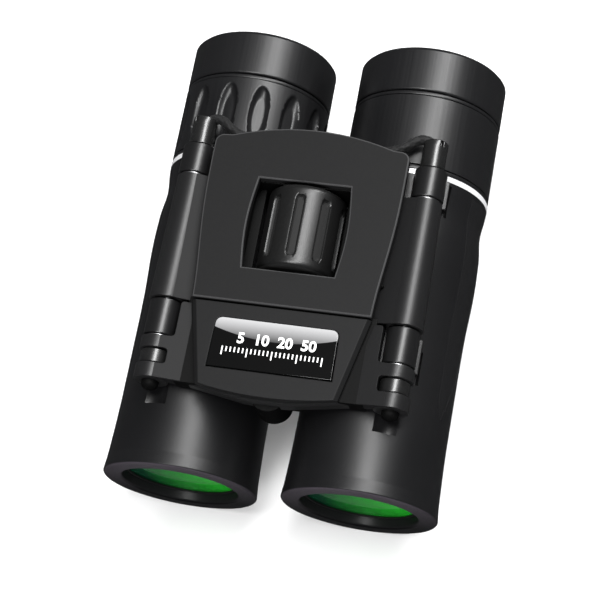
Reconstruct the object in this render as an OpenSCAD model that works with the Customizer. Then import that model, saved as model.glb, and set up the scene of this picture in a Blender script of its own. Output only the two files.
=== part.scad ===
// Compact folding binoculars with two hinged barrels under one bridge.
// Millimetres. +Y runs from the objective ends to the eyepieces, +Z is up
// through the bridge, and the two barrels rest on z = 0. "Stations" are
// distances along +Y from the front of the objective rims.

/* [Overall] */
// Length over both barrels with the eyecups down
total_len = 104; // [103:0.5:106]
// Half the distance between the folded barrels' axes
barrel_x = 20; // [19.9:0.05:20.1]
// Outer radius of the objective rims, which is also the axis height
rim_r = 17.2; // [17.1:0.05:17.3]

/* [Barrels] */
// Outer radius at the eyepiece end
eye_r = 16.8; // [16.6:0.05:16.8]
// Outer radius of the plain front tube
front_r = 16.45; // [16.2:0.05:16.5]
// Radius of the bore through the housing
bore_r = 12.6; // [12.2:0.1:12.8]
// How far the grip swells beyond the eyepiece radius
grip_swell = 0.25; // [0.1:0.05:0.3]
// How far the waist pulls in below the accent ring
waist_depth = 0.55; // [0.3:0.05:0.7]
// Depth of the bed that holds the rubber grip
grip_bed = 1.1; // [0.8:0.1:1.4]

/* [Hinges] */
// Distance of each hinge axis from the middle
hinge_x = 26.1; // [26.0:0.05:26.2]
// Height of the hinge axes
hinge_z = 36.1; // [36.0:0.05:36.2]
// Radius of the steel axles
axle_r = 1.5; // [1.4:0.1:1.6]
// Radius of the barrels' knuckles
knuckle_r = 3.6; // [3.4:0.1:3.6]
// Radius of the bridge tube at its eyepiece end
tube_rear_r = 3.5; // [3.3:0.1:3.6]
// Radius of the bridge tube at its objective end
tube_front_r = 4.05; // [3.8:0.05:4.05]
// Running clearance of a barrel's knuckle on its axle
running_fit = 0.05; // [0.03:0.01:0.08]
// Gap between curved faces of parts that move past each other
side_gap = 0.35; // [0.3:0.05:0.4]

/* [Bridge] */
// Height of the top cover's outer face
cover_z = 41.2; // [41.0:0.1:41.4]
// Thickness of the covers
cover_t = 1.8; // [1.6:0.1:1.9]
// Radius of the focus wheel
wheel_r = 8.6; // [8.2:0.1:8.6]
// Height of the focus wheel's axis
wheel_z = 33.9; // [33.6:0.1:34.2]
// Length of the focus wheel
wheel_len = 19.2; // [18:0.2:19.4]
// Half the travel of the focus yoke
focus_travel = 1.0; // [0.6:0.1:1.0]

/* [Eyepieces] */
// How far the eyecups extend
eyecup_travel = 5; // [3:0.5:5]
// Number of finger recesses round the dioptre ring
dioptre_grips = 14; // [10:1:16]
// Half the travel of the dioptre-adjusted ocular
dioptre_travel = 0.7; // [0.4:0.1:0.7]

/* [Hidden] */
$fn = 96;

axis_z = rim_r;                   // height of the barrels' axes
eps = 0.01;                       // overrun of cuts through a face
hinge_angle = atan2(hinge_z - axis_z, hinge_x - barrel_x);

// Stations along the hinges, from the objective end
screw_head = [15.4, 17.5];
end_knuckle = [17.5, 20.8];
nut_window = [20.8, 24.2];
front_ring = [24.2, 27.0];
front_knuckle = [27.4, 35.4];
bridge_tube = [35.8, 65.1];
rear_knuckle = [65.5, 72.4];
strap_cap = [72.8, 79.3];

// Stations along the barrels
rim_len = 3.2;
accent_ring = [72.7, 74.0];
rear_ring = [75.2, 91.8];         // dioptre ring or plain sleeve
eyecup = [93.0, 104];
grip_zone = [13, 72.7];
prism_zone = [45, 68];
focus_cell = [36.5, 43.5];

// Stations along the focus drive
window_mid = 54.4;
wheel_gap = 0.35;
yoke_mid = 40.3;
yoke_len = 4.2;
yoke_well = [yoke_mid - yoke_len / 2 - focus_travel - 0.1, yoke_mid + yoke_len / 2 + focus_travel + 0.1];
spindle_r = 1.8;

// ---------- placing ----------

// Turns a shape drawn along +Z into one along +Y, starting at station 0
module along(x, z) translate([x, -total_len / 2, z]) rotate([-90, 0, 0]) children();
module on_barrel() along(barrel_x, axis_z) children();
module on_hinge() along(hinge_x, hinge_z) children();
module on_wheel() along(0, wheel_z) children();
module left_side() mirror([1, 0, 0]) children();
module both_sides() {
    children();
    left_side() children();
}
// Extrudes an outline drawn in x and station upwards from z0 by h
module deck(z0, h) translate([0, -total_len / 2, z0]) linear_extrude(h) children();

// A straight rod or tube between two stations
module rod(span, r) translate([0, 0, span[0]]) cylinder(h = span[1] - span[0], r = r);
module tube(span, r_out, r_in) difference() {
    rod(span, r_out);
    rod([span[0] - eps, span[1] + eps], r_in);
}
// A cylinder with both end edges rounded by a quarter circle
module round_rod(span, r, edge, inner = 0) rotate_extrude()
    polygon(concat(
        [[inner, span[0]]],
        [for (a = [-90 : 15 : 0]) [r - edge + edge * cos(a), span[0] + edge + edge * sin(a)]],
        [for (a = [0 : 15 : 90]) [r - edge + edge * cos(a), span[1] - edge + edge * sin(a)]],
        [[inner, span[1]]]));

// ---------- barrels ----------

function bump(s, middle, half) =
    abs(s - middle) < half ? (1 + cos(180 * (s - middle) / half)) / 2 : 0;
function ramp(s, low, high) =
    s <= low ? 0 : s >= high ? 1 : (1 - cos(180 * (s - low) / (high - low))) / 2;
function flare(s) = s < 20 ? pow((20 - s) / 20, 2) : 0;
// Outer radius of the housing and grip at a station
function barrel_r(s) = front_r + (eye_r - front_r) * ramp(s, 34, 58)
    - waist_depth * bump(s, 66.5, 6.2) + grip_swell * bump(s, 53, 12) + 0.6 * flare(s);

module barrel_blank() on_barrel() rotate_extrude()
    polygon(concat([[0, rim_len]],
        [for (i = [0 : 22]) let (s = rim_len + (accent_ring[0] - rim_len) * i / 22) [barrel_r(s), s]],
        [[0, accent_ring[0]]]));

// The sector of the barrel that carries the grip: the outer and lower side
module grip_sector(r_in) on_barrel() rotate([0, 0, -34]) rotate_extrude(angle = 186)
    translate([r_in, grip_zone[0]]) square([6, grip_zone[1] - grip_zone[0]]);

// Slanted cut that ends the grip towards the objective
module grip_front_cut() translate([barrel_x + 20, -total_len / 2 + 12, axis_z])
    rotate([0, 28, 0]) rotate([0, 0, 42]) translate([-40, -20, -40]) cube([80, 20, 80]);

module knuckle(span) {
    on_hinge() rod(span, knuckle_r);
    on_barrel() rotate([0, 0, -hinge_angle])
        translate([bore_r + 1, -2.9, span[0]]) cube([4.2, 5.8, span[1] - span[0]]);
}

// Hollow in the housing that the bridge tube lies in, from the screw head
// to the rear end
module hinge_valley() on_hinge() rod([13.8, accent_ring[0] + 1], tube_front_r + side_gap);

module root_slot(span) on_barrel() rotate([0, 0, -hinge_angle])
    translate([14.6, 3.4, span[0]]) cube([4, 1.1, span[1] - span[0]]);

// Hole for the focusing arm, on the side that faces the hinge
module arm_slot() on_barrel() rotate([0, 0, -hinge_angle])
    translate([bore_r - 1, -1.6, yoke_mid - 2.4]) cube([8, 3.2, 4.8]);

module housing() color([0.10, 0.10, 0.105]) difference() {
    union() {
        difference() {
            barrel_blank();
            hinge_valley();
            difference() {
                grip_sector(eye_r - grip_bed - 0.5);
                grip_front_cut();
            }
        }
        knuckle(front_knuckle);
        knuckle(rear_knuckle);
    }
    on_barrel() {
        rod([rim_len - eps, accent_ring[0] + eps], bore_r);
        rod([accent_ring[0] - 1.1, accent_ring[0] + eps], 14.2);
    }
    on_hinge() rod([front_knuckle[0] - 1, rear_knuckle[1] + 1], axle_r + running_fit);
    root_slot([26.5, 33]);
    root_slot([62.5, 69.5]);
    arm_slot();
}

module grip() color([0.13, 0.13, 0.135]) difference() {
    intersection() {
        barrel_blank();
        grip_sector(eye_r - grip_bed - 0.5);
    }
    grip_front_cut();
}

module objective_rim() color([0.14, 0.13, 0.15]) on_barrel() rotate_extrude() polygon(concat(
    [[12.2, 0.9], [14.6, 0]],
    [for (a = [-90 : 15 : 0]) [rim_r - 1.4 + 1.4 * cos(a), 1.4 + 1.4 * sin(a)]],
    [[barrel_r(rim_len), rim_len], [12.2, rim_len]]));

// A lens with two spherical faces, drawn from its axis outwards
module lens(front, thick, r, sag_front, sag_rear) rotate_extrude() polygon(concat(
    [for (t = [0 : 0.1 : 1]) [r * t, front + sag_front * t * t]],
    [for (t = [1 : -0.1 : 0]) [r * t, front + thick - sag_rear * t * t]]));

module objective_lens() color([0.1, 0.6, 0.2, 0.6]) on_barrel() lens(4.6, 4.4, 12.4, 1.2, 0.6);
module lens_ring() color([0.05, 0.05, 0.05]) on_barrel() tube([rim_len, 5.0], bore_r - 0.05, 11.6);
module accent() color([0.85, 0.85, 0.86]) on_barrel() tube(accent_ring, eye_r + 0.05, 14.2);

module prism_holder() color([0.2, 0.2, 0.2]) on_barrel() difference() {
    rod([prism_zone[0] - 1.5, prism_zone[1] + 1.5], bore_r - 0.1);
    translate([-7.6, -7.6, prism_zone[0]]) cube([15.2, 15.2, prism_zone[1] - prism_zone[0]]);
    rod([prism_zone[0] - 2, prism_zone[1] + 2], 6.6);
}

// Half-pentagonal prism and roof prism with a thin air gap between them
module prism() color([0.7, 0.8, 0.85, 0.5]) on_barrel() {
    rotate([0, -90, 0]) linear_extrude(14.4, center = true)
        polygon([[45.5, -7.2], [58, 7.2], [45.5, 7.2]]);
    rotate([0, -90, 0]) linear_extrude(14.4, center = true)
        polygon([[46.5, -7.3], [67.5, -7.3], [67.5, 7.2], [59.2, 7.2]]);
}

module eyepiece_tube() color([0.12, 0.12, 0.12]) on_barrel() {
    tube([accent_ring[1], 75.0], eye_r, 14.2);
    tube([accent_ring[0] - 1.1, 92.8], 14.2, 12.9);
    tube([91.8 + 0.1, 92.8], eye_r, 14.2);
    tube([92.8, 97.6], 14.2, 12.9);
}

module finger_recess() translate([eye_r + 2.3, 0, (rear_ring[0] + rear_ring[1]) / 2])
    cylinder(h = 12.4, r = 3.3, center = true);

module dioptre_ring() color([0.12, 0.12, 0.125]) left_side() on_barrel() difference() {
    tube(rear_ring, eye_r, 14.2 + 0.1);
    for (i = [0 : dioptre_grips - 1]) rotate([0, 0, 360 * (i + 0.5) / dioptre_grips]) finger_recess();
}

module eyepiece_sleeve() color([0.12, 0.12, 0.125]) on_barrel() tube(rear_ring, eye_r, 14.2);

module ocular_cell() color([0.08, 0.08, 0.08]) on_barrel() difference() {
    rod([82, 96], 12.8);
    rod([81, 97], 9.4);
    rod([83.2, 86.4], 11);
    rod([91.0, 94.6], 10);
}

module ocular_lenses() color([0.75, 0.6, 0.85, 0.5]) on_barrel() {
    lens(83.4, 2.8, 10.9, 0.9, 0.4);
    lens(91.2, 3.2, 9.9, 0.8, 0.8);
}

module eyecup_ring() color([0.11, 0.11, 0.11]) on_barrel() rotate_extrude() polygon([
    [14.3, eyecup[0] + 0.1], [eye_r - 0.2, eyecup[0] + 0.1], [eye_r, eyecup[0] + 0.3],
    [eye_r, eyecup[1] - 0.9], [eye_r - 0.9, eyecup[1]], [eye_r - 2.6, eyecup[1]],
    [12.2, eyecup[1] - 3], [12.2, eyecup[1] - 5.8], [14.3, eyecup[1] - 5.8]]);

// ---------- focusing ----------

// A lens cell in the barrel, with an arm out to an eye on the hinge axle
module focus_cell_part() color([0.3, 0.3, 0.3]) {
    on_barrel() difference() {
        tube([focus_cell[0] + 1, focus_cell[1] - 1.2], bore_r - 0.3, 9);
        rod([focus_cell[0] + 1.8, focus_cell[1] - 1.8], 10.6);
    }
    difference() {
        union() {
            on_hinge() rod([yoke_mid - 0.7, yoke_mid + 0.7], 2.8);
            on_barrel() rotate([0, 0, -hinge_angle])
                translate([11.2, -1.1, yoke_mid - 0.7]) cube([8.6, 2.2, 1.4]);
        }
        on_hinge() rod([yoke_mid - 1, yoke_mid + 1], axle_r + running_fit);
    }
}

module focus_lens() color([0.7, 0.8, 0.85, 0.5]) on_barrel() lens(38.5, 2.6, 10.5, 0.5, -0.5);

module yoke_eye(span) difference() {
    on_hinge() rod(span, 2.8);
    on_hinge() rod([span[0] - 1, span[1] + 1], axle_r + running_fit);
}

module focus_yoke() color([0.35, 0.35, 0.36]) {
    difference() {
        union() {
            deck(wheel_z - 3.2, hinge_z + 0.9 - wheel_z + 3.2)
                translate([-4.4, yoke_mid - yoke_len / 2]) square([8.8, yoke_len]);
            both_sides() yoke_arm();
        }
        on_wheel() rod([yoke_mid - 3, yoke_mid + 3], 2.7);
    }
}

// Half of the cross bar with its fork round the hinge axle
module yoke_arm() {
    deck(hinge_z - 0.9, 1.8) translate([4, yoke_mid - yoke_len / 2]) square([18.6, yoke_len]);
    for (end = [-1, 1]) {
        span = end < 0 ? [yoke_mid - yoke_len / 2, yoke_mid - 0.8]
                       : [yoke_mid + 0.8, yoke_mid + yoke_len / 2];
        yoke_eye(span);
        difference() {
            deck(hinge_z - 0.9, 1.8) translate([22, span[0]]) square([2.6, span[1] - span[0]]);
            on_hinge() rod([span[0] - 1, span[1] + 1], axle_r + running_fit);
        }
    }
}

module yoke_nut() color([0.78, 0.62, 0.32]) on_wheel()
    tube([yoke_mid - yoke_len / 2, yoke_mid + yoke_len / 2], 2.7, spindle_r + 0.05);

module focus_spindle() color([0.7, 0.7, 0.72]) on_wheel()
    rod([bush_front[0] + 0.3, bush_rear[1] - 0.1], spindle_r);

module focus_wheel_hub() color([0.15, 0.15, 0.15]) on_wheel()
    tube([window_mid - wheel_len / 2 + 0.8, window_mid + wheel_len / 2 - 0.8], 6.4, spindle_r);

module focus_wheel() color([0.17, 0.17, 0.17]) on_wheel() difference() {
    round_rod([window_mid - wheel_len / 2, window_mid + wheel_len / 2], wheel_r, 1.2, 5.2);
    rod([window_mid - wheel_len / 2 + 0.8, window_mid + wheel_len / 2 - 0.8], 6.4);
    for (i = [0 : 8]) rotate([0, 0, 90 + 40 * i]) translate([wheel_r, 0, window_mid]) wheel_recess();
}

// Long round-ended finger recess, 0.8 deep
module wheel_recess() rotate([0, 90, 0]) translate([0, 0, -0.8]) linear_extrude(2) {
    square([12, 2.2], center = true);
    for (end = [-6, 6]) translate([end, 0]) circle(r = 1.1);
}

// ---------- bridge ----------

cover_span = [36.0, 72.4];        // sides of the top cover, below its domed end
lower_cover_end = 35.6;
window_span = [44.0, 64.8];
bush_front = [35.6, 37.0];
bush_rear = [65.2, 68.4];
bush_r = 3.0;

// Edge of the top cover at a station: straight sides with a slight outward bow
function cover_half(s) = 19.5 + 2.2 * ramp(s, 32, 72) + 0.35 * bump(s, 54, 18);

module top_cover_outline() polygon(concat(
    [for (i = [0 : 8]) let (s = cover_span[0] + (cover_span[1] - cover_span[0]) * i / 8)
        [cover_half(s), s]],
    [for (a = [10 : 20 : 70]) [cover_half(cover_span[1]) - 2 + 2 * cos(a), cover_span[1] + 2 * sin(a)]],
    [for (x = [18 : -3 : -18]) [x, 77.4 - 2.9 * pow(x / 18, 2)]],
    [for (a = [110 : 20 : 170]) [2 - cover_half(cover_span[1]) + 2 * cos(a), cover_span[1] + 2 * sin(a)]],
    [for (i = [8 : -1 : 0]) let (s = cover_span[0] + (cover_span[1] - cover_span[0]) * i / 8)
        [-cover_half(s), s]]));

module window_outline() polygon(concat(
    [for (i = [0 : 8]) let (s = window_span[0] + (window_span[1] - window_span[0]) * i / 8)
        [10.1 + 0.9 * sin(180 * i / 8), s]],
    [for (i = [8 : -1 : 0]) let (s = window_span[0] + (window_span[1] - window_span[0]) * i / 8)
        [-10.1 - 0.9 * sin(180 * i / 8), s]]));

module lower_cover_outline() polygon(concat(
    [for (x = [-15.4 : 2.8 : 15.4]) [x, 15.7 + 1.5 * pow(x / 15.4, 2)]],
    [[19.5, lower_cover_end], [-19.5, lower_cover_end]]));

module badge_outline() polygon(concat(
    [[-13.5, 21.2], [13.5, 21.2]],
    [for (a = [0 : 15 : 90]) [11.9 + 1.4 * cos(a), 30.8 + 1.4 * sin(a)]],
    [for (a = [90 : 15 : 180]) [1.4 * cos(a) - 11.9, 30.8 + 1.4 * sin(a)]]));

module top_cover() color([0.2, 0.2, 0.2]) difference() {
    deck(cover_z - cover_t, cover_t) top_cover_outline();
    deck(cover_z - cover_t - 1, cover_t + 2) window_outline();
}

module lower_cover() color([0.2, 0.2, 0.2]) difference() {
    deck(cover_z - 0.4 - cover_t, cover_t) lower_cover_outline();
    deck(cover_z - 0.9, 2) offset_badge();
}
module offset_badge() scale([1.012, 1]) badge_outline();

module badge() color([0.03, 0.03, 0.03]) deck(cover_z - 0.9, 0.7) badge_outline();

// Solid under the covers, before the drive is let into it
frame_top = cover_z - cover_t;
frame_low = 27.6;
module frame_core() difference() {
    union() {
        deck(frame_low, frame_top - frame_low) polygon([
            [-21, lower_cover_end + 0.2], [-21.6, 71.2], [21.6, 71.2], [21, lower_cover_end + 0.2]]);
        deck(frame_low, frame_top - 0.4 - frame_low) polygon([
            [-21.6, 18.1], [-15.2, 17.2], [-4, 15.2], [4, 15.2], [15.2, 17.2], [21.6, 18.1],
            [21.6, 36.2], [-21.6, 36.2]]);
        // Rounded nose between the barrels
        translate([0, 17.8 - total_len / 2, 0]) intersection() {
            translate([0, 0, frame_low]) cylinder(h = 9.4, r = 4.0);
            translate([-4, -4, frame_low]) cube([8, 8, 9.4]);
        }
    }
    both_sides() on_barrel() rod([-1, total_len + 1], eye_r + grip_swell + side_gap);
    // Space for the rear knuckles and the swinging housings
    both_sides() on_hinge() rod([bridge_tube[1] - eps, 90], knuckle_r + side_gap);
    both_sides() on_hinge() rod([front_knuckle[0] - 0.3, front_knuckle[1] + 0.4], knuckle_r + side_gap);
    both_sides() on_hinge() rod([0, end_knuckle[0]], knuckle_r + side_gap);
}

// Sloping shoulder that joins a hinge tube to the core
module shoulder(span, top) translate([0, span[1] - total_len / 2, 0]) rotate([90, 0, 0])
    linear_extrude(span[1] - span[0])
        polygon([[20.6, 35.2], [hinge_x - 1, 33.4], [hinge_x - 1, top], [22.8, 38.8], [20.6, 38.3]]);

module hinge_barrels() both_sides() {
    on_hinge() translate([0, 0, bridge_tube[0]])
        cylinder(h = bridge_tube[1] - bridge_tube[0], r1 = tube_front_r, r2 = tube_rear_r);
    on_hinge() rod(front_ring, 3.8);
    on_hinge() rod(end_knuckle, 3.8);
    shoulder(bridge_tube, hinge_z + 3.1);
    shoulder(front_ring, hinge_z + 3.3);
    shoulder(end_knuckle, hinge_z + 3.3);
}

// Sector of the tube's wall that the focusing arm swings through
module arm_sweep() on_hinge() translate([0, 0, yoke_mid - 1.8]) linear_extrude(3.6)
    polygon([[0, 0], [-6.2, 6.6], [-4, 12], [4, 12], [7.2, 6.0]]);

module bridge_frame() color([0.16, 0.16, 0.165]) difference() {
    union() {
        frame_core();
        hinge_barrels();
    }
    // Wheel well
    deck(frame_low - 1, 20) translate([-9.4, window_mid - wheel_len / 2 - wheel_gap])
        square([18.8, wheel_len + 2 * wheel_gap]);
    // Yoke well
    deck(wheel_z - 3.6, 20) translate([-5, yoke_well[0]]) square([10, yoke_well[1] - yoke_well[0]]);
    deck(hinge_z - 1.2, 20) translate([-20.4, yoke_well[0]])
        square([40.8, yoke_well[1] - yoke_well[0]]);
    both_sides() deck(hinge_z - 1.2, 2.4) translate([20, yoke_well[0]])
        square([5, yoke_well[1] - yoke_well[0]]);
    both_sides() on_hinge() rod(yoke_well, 3.1);
    both_sides() arm_sweep();
    // Axles, spindle bushes
    both_sides() on_hinge() rod([0, 90], axle_r);
    on_wheel() rod([bush_front[0] - 0.6, bush_rear[1] + 0.6], bush_r);
    // Screw holes from below
    for (p = screw_places) translate([p[0], p[1] - total_len / 2, 0]) cylinder(h = 60, r = 0.8);
}

screw_places = [[-11, 69.4], [11, 69.4], [-17, 33], [17, 33], [-13, 20.4], [13, 20.4]];
module cover_screws() color([0.5, 0.5, 0.52]) for (p = screw_places)
    translate([p[0], p[1] - total_len / 2, frame_top - 2.2])
        cylinder(h = 2.2 - (p[1] < 36 ? 0.4 : 0), r = 0.8);

module spindle_bushes() color([0.72, 0.55, 0.3]) on_wheel() {
    tube(bush_front, bush_r, spindle_r + 0.03);
    tube(bush_rear, bush_r, spindle_r + 0.03);
}

module hinge_axles() color([0.6, 0.6, 0.62]) both_sides() on_hinge() rod([17.5, 76], axle_r);
module axle_nuts() color([0.06, 0.06, 0.06]) both_sides() on_hinge()
    tube([nut_window[0] + 0.1, nut_window[1] - 0.1], 3.3, axle_r);
module axle_screws() color([0.06, 0.06, 0.06]) both_sides() on_hinge()
    round_rod(screw_head, 2.3, 1.0);
module hinge_washers() color([0.4, 0.4, 0.42]) both_sides() on_hinge() {
    tube([front_ring[1], front_ring[1] + 0.35], 3.0, axle_r);
    tube([bridge_tube[1], bridge_tube[1] + 0.35], 3.0, axle_r);
}

cord_r = 1.1;
cord_hole = cord_r + 0.05;
// Each cap is slotted towards the middle, where the cord bends out of it
module strap_caps() color([0.2, 0.2, 0.2]) both_sides() on_hinge() difference() {
    round_rod(strap_cap, 2.7, 0.6);
    rod([0, 76], axle_r);
    rod([76.2, 90], cord_hole);
    translate([-4, -cord_hole - 0.5, 77]) cube([4, 2 * cord_hole + 0.5, 10]);
}

// Route of the cord between the caps: x, y, z in the object's frame
cord_route = [
    [-26.1, 24.4, 36.1], [-26.1, 25.4, 36.1], [-25.7, 26.6, 36.2], [-24.6, 27.5, 36.3],
    [-23.1, 27.7, 36.5], [-21.7, 27.1, 36.7], [-20.4, 26.0, 36.9], [-18.6, 24.8, 36.9],
    [-16.0, 23.9, 36.8], [-12.0, 23.2, 36.4], [-8.0, 22.8, 35.2], [-4.0, 22.6, 33.8],
    [0, 22.6, 33.2],
    [4.0, 22.6, 33.8], [8.0, 22.8, 35.2], [12.0, 23.2, 36.4], [16.0, 23.9, 36.8],
    [18.6, 24.8, 36.9], [20.4, 26.0, 36.9], [21.7, 27.1, 36.7], [23.1, 27.7, 36.5],
    [24.6, 27.5, 36.3], [25.7, 26.6, 36.2], [26.1, 25.4, 36.1], [26.1, 24.4, 36.1]];
cord_sides = 8;
function unit(v) = v / norm(v);
function cord_dir(i) = unit(cord_route[min(i + 1, len(cord_route) - 1)] - cord_route[max(i - 1, 0)]);
function cord_side(i) = unit(cross(cord_dir(i), [0, 0, 1]));
function cord_ring(i) = [for (k = [0 : cord_sides - 1]) let (a = 360 * k / cord_sides)
    cord_route[i] + cord_r * (cos(a) * cord_side(i) + sin(a) * cross(cord_side(i), cord_dir(i)))];
cord_rings = len(cord_route);
module strap_cord() color([0.05, 0.05, 0.05]) polyhedron(
    points = [for (i = [0 : cord_rings - 1]) each cord_ring(i)],
    faces = concat(
        [[for (k = [0 : cord_sides - 1]) k]],
        [for (i = [0 : cord_rings - 2]) for (k = [0 : cord_sides - 1]) let (n = (k + 1) % cord_sides)
            [i * cord_sides + k, (i + 1) * cord_sides + k, (i + 1) * cord_sides + n, i * cord_sides + n]],
        [[for (k = [cord_sides - 1 : -1 : 0]) (cord_rings - 1) * cord_sides + k]]));

bridge_frame();
top_cover();
lower_cover();
badge();
hinge_axles();
axle_nuts();
axle_screws();
hinge_washers();
strap_caps();
strap_cord();
spindle_bushes();
cover_screws();
focus_wheel();
focus_wheel_hub();
focus_spindle();
focus_yoke();
yoke_nut();
left_side() housing();  // left_housing
left_side() grip();  // left_grip
left_side() objective_rim();  // left_objective_rim
left_side() objective_lens();  // left_objective_lens
left_side() lens_ring();  // left_lens_ring
left_side() accent();  // left_accent_ring
left_side() prism_holder();  // left_prism_holder
left_side() prism();  // left_prism
left_side() eyepiece_tube();  // left_eyepiece_tube
left_side() focus_cell_part();  // left_focus_cell
left_side() focus_lens();  // left_focus_lens
dioptre_ring();
left_side() ocular_cell();  // left_ocular_cell
left_side() ocular_lenses();  // left_ocular_lenses
left_side() eyecup_ring();  // left_eyecup
housing();  // right_housing
grip();  // right_grip
objective_rim();  // right_objective_rim
objective_lens();  // right_objective_lens
lens_ring();  // right_lens_ring
accent();  // right_accent_ring
prism_holder();  // right_prism_holder
prism();  // right_prism
eyepiece_tube();  // right_eyepiece_tube
focus_cell_part();  // right_focus_cell
focus_lens();  // right_focus_lens
eyepiece_sleeve();  // right_eyepiece_sleeve
ocular_cell();  // right_ocular_cell
ocular_lenses();  // right_ocular_lenses
eyecup_ring();  // right_eyecup
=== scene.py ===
# Compact folding binoculars: two barrels hung from a flat bridge by two long hinges,
# with a focus wheel in a window, a dioptre ring, eyecups and a short braided cord.
import math

import bmesh
import bpy
from mathutils import Matrix, Vector


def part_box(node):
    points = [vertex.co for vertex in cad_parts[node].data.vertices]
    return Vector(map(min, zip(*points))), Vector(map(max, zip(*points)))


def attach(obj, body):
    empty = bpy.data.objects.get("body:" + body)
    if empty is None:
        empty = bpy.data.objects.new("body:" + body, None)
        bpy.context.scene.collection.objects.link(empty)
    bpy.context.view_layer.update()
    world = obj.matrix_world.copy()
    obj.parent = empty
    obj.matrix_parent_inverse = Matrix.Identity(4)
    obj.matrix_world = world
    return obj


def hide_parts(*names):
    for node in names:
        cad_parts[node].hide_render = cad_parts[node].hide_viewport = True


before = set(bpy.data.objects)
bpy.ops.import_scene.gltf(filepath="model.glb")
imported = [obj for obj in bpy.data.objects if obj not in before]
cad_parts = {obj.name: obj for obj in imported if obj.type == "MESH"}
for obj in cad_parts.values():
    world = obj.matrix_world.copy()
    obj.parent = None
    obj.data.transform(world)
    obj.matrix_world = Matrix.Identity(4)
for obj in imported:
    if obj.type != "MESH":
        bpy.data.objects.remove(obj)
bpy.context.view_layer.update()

MM = 0.001
front_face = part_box("right_objective_rim")[0].y


def at(station):
    """The frame's y, in metres, of a distance in millimetres from the objective end."""
    return front_face + station * MM


# ---------------------------------------------------------------- camera
# It looks down on the bridge from the objective end, a little from the right,
# and is rolled so that the eyepieces lean to the right.
lean_right = math.radians(11.65)
lean_front = math.radians(18.92)
roll = math.radians(10.88)
back = Vector((math.sin(lean_right), -math.sin(lean_front), 0))
back.z = math.sqrt(1 - back.length_squared)
up = (Vector((0, 1, 0)) - back * back.y).normalized()
right = up.cross(back)
camera_data = bpy.data.cameras.new("camera")
camera_data.sensor_width = 36
camera_data.lens = 118.67
camera = bpy.data.objects.new("camera", camera_data)
bpy.context.scene.collection.objects.link(camera)
aim = Vector((-0.00147, at(46.42), 0.017))
columns = (right * math.cos(roll) + up * math.sin(roll), up * math.cos(roll) - right * math.sin(roll), back)
camera.matrix_world = Matrix.Translation(aim + back * 0.44423) @ Matrix(columns).transposed().to_4x4()
bpy.context.scene.camera = camera


# ---------------------------------------------------------------- strap cord
# A short loop of braided nylon. Each end is glued into the cap on a hinge, and
# the middle lies behind the domed edge of the cover.
class Wire:
    """A socket of a material's nodes, on which sums and products add Math nodes."""

    def __init__(self, finish, socket):
        self.finish = finish
        self.socket = socket

    def calculated(self, operation, *values):
        return self.finish.node("ShaderNodeMath", {"operation": operation}, dict(enumerate(values)))

    def __add__(self, other):
        return self.calculated("ADD", self, other)

    def __sub__(self, other):
        return self.calculated("SUBTRACT", self, other)

    def __rsub__(self, other):
        return self.calculated("SUBTRACT", other, self)

    def __mul__(self, other):
        return self.calculated("MULTIPLY", self, other)

    __radd__ = __add__
    __rmul__ = __mul__

    def above(self, edge, softness):
        """0 below the edge and 1 above it, with a soft step."""
        return self.finish.node("ShaderNodeMapRange", {"interpolation_type": "SMOOTHSTEP"},
                                {0: self, 1: edge - softness, 2: edge + softness, 3: 0.0, 4: 1.0})


class Finish:
    """A material: one Principled shader with constant sockets, and the nodes that feed it."""

    def __init__(self, name, **constants):
        self.material = bpy.data.materials.new(name)
        self.material.use_nodes = True
        self.tree = self.material.node_tree
        self.shader = self.tree.nodes["Principled BSDF"]
        for socket, value in constants.items():
            self.shader.inputs[socket.replace("_", " ")].default_value = value

    def node(self, kind, settings=None, inputs=None, out=0):
        made = self.tree.nodes.new(kind)
        for name, value in (settings or {}).items():
            setattr(made, name, value)
        for key, value in (inputs or {}).items():
            if isinstance(value, Wire):
                self.tree.links.new(value.socket, made.inputs[key])
            else:
                made.inputs[key].default_value = value
        return Wire(self, made.outputs[out])

    def place(self, scale=(1, 1, 1)):
        """Object coordinates, in metres, stretched by scale."""
        spot = self.node("ShaderNodeTexCoord", out=3)
        return self.node("ShaderNodeMapping", {}, {0: spot, 3: scale})

    def along(self, axis):
        """One object coordinate, in millimetres: 0, 1 or 2 for x, y or z."""
        return self.node("ShaderNodeSeparateXYZ", {}, {0: self.place((1000, 1000, 1000))}, out=axis)

    def noise(self, place, scale, detail=2.0):
        return self.node("ShaderNodeTexNoise", {}, {"Vector": place, "Scale": scale, "Detail": detail})

    def mix(self, share, low, high):
        return self.node("ShaderNodeMix", {"data_type": "RGBA"}, {0: share, 6: low, 7: high}, out=2)

    def feed(self, socket, value):
        self.tree.links.new(value.socket, self.shader.inputs[socket])

    def bump(self, height, distance, strength=1.0):
        self.feed("Normal", self.node("ShaderNodeBump", {}, {0: strength, 1: distance, "Height": height}))


def shown(bm, name, material, crease=32, flats=True):
    """Makes the bmesh a piece: smooth faces, sharp where they meet at more than crease degrees.
    With flats, large flat faces keep an even shade beside their rounded edges."""
    for face in bm.faces:
        face.smooth = True
    for edge in bm.edges:
        edge.smooth = len(edge.link_faces) == 2 and edge.calc_face_angle() < math.radians(crease)
    mesh = bpy.data.meshes.new(name)
    bm.to_mesh(mesh)
    bm.free()
    mesh.materials.append(material)
    piece = bpy.data.objects.new(name, mesh)
    bpy.context.scene.collection.objects.link(piece)
    if flats:
        piece.modifiers.new("even_shading", "WEIGHTED_NORMAL").keep_sharp = True
    return piece


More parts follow.
